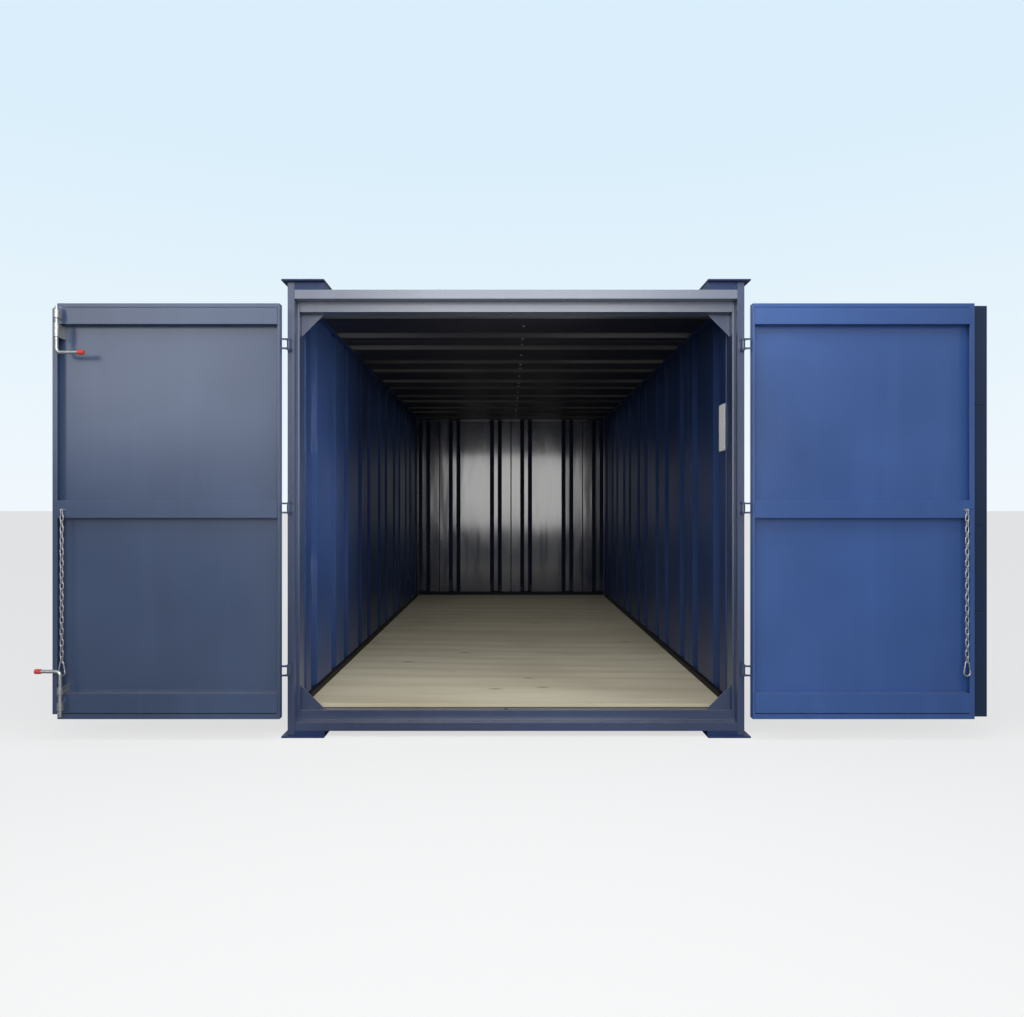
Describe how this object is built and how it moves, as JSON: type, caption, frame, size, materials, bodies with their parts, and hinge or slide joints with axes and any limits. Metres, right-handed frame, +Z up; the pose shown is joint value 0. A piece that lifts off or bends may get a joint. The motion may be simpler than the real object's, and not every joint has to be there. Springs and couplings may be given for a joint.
{
  "type": "storage container",
  "caption": "Steel storage container about 4.9 m long and 2.1 m square, ribbed walls, plywood floor, two hinged doors with shoot bolts and holdback chains.",
  "frame": {"origin": "on the ground, under the middle of the object with both doors half a turn open", "axes": "+X to the right seen from the doors, +Y from the doorway to the back wall, +Z up; both doors stored half a turn open"},
  "size_m": [4.284, 5.084, 2.1],
  "materials": {
    "painted_steel": "semi-gloss",
    "zinc_plated_steel": "satin",
    "red_plastic": "satin",
    "plywood": "matt"
  },
  "bodies": {
    "container": {"front_post_left": "painted_steel", "front_post_right": "painted_steel", "rear_post_left": "painted_steel", "rear_post_right": "painted_steel", "front_header": "painted_steel", "front_sill": "painted_steel", "rear_header": "painted_steel", "rear_sill": "painted_steel", "bottom_rail_left": "painted_steel", "bottom_rail_right": "painted_steel", "top_rail_left": "painted_steel", "top_rail_right": "painted_steel", "front_gussets": "painted_steel", "top_corner_plates": "painted_steel", "bottom_corner_plates": "painted_steel", "left_wall": "painted_steel", "right_wall": "painted_steel", "back_wall": "painted_steel", "roof": "painted_steel", "floor_boards": "plywood", "floor_bearers": "painted_steel", "hinge_lugs_left": "painted_steel", "hinge_lugs_right": "painted_steel"},
    "left_door": {"left_door_tray": "painted_steel", "left_door_rails": "painted_steel", "left_door_hinges": "painted_steel", "left_bolt_guides": "painted_steel", "left_chain_eye": "painted_steel", "left_chain": "zinc_plated_steel", "left_snap_hook": "zinc_plated_steel"},
    "right_door": {"right_door_tray": "painted_steel", "right_door_rails": "painted_steel", "right_door_hinges": "painted_steel", "right_cover_strip": "painted_steel", "right_chain_eye": "painted_steel", "right_chain": "zinc_plated_steel", "right_snap_hook": "zinc_plated_steel"},
    "upper_bolt": {"upper_bolt": "zinc_plated_steel", "upper_bolt_grip": "red_plastic"},
    "lower_bolt": {"lower_bolt": "zinc_plated_steel", "lower_bolt_grip": "red_plastic"}
  },
  "joints": [
    {"name": "left_door_hinge", "type": "hinge", "parent": "container", "child": "left_door", "pos_m": [-1.038, -2.434, 1.05], "axis": [0, 0, -1], "range_deg": [-180, 85]},
    {"name": "right_door_hinge", "type": "hinge", "parent": "container", "child": "right_door", "pos_m": [1.038, -2.434, 1.05], "axis": [0, 0, 1], "range_deg": [-180, 85]},
    {"name": "upper_bolt_slide", "type": "slide", "parent": "left_door", "child": "upper_bolt", "axis": [0, 0, 1], "range_m": [0, 0.045]},
    {"name": "lower_bolt_slide", "type": "slide", "parent": "left_door", "child": "lower_bolt", "axis": [0, 0, -1], "range_m": [0, 0.045]}
  ]
}
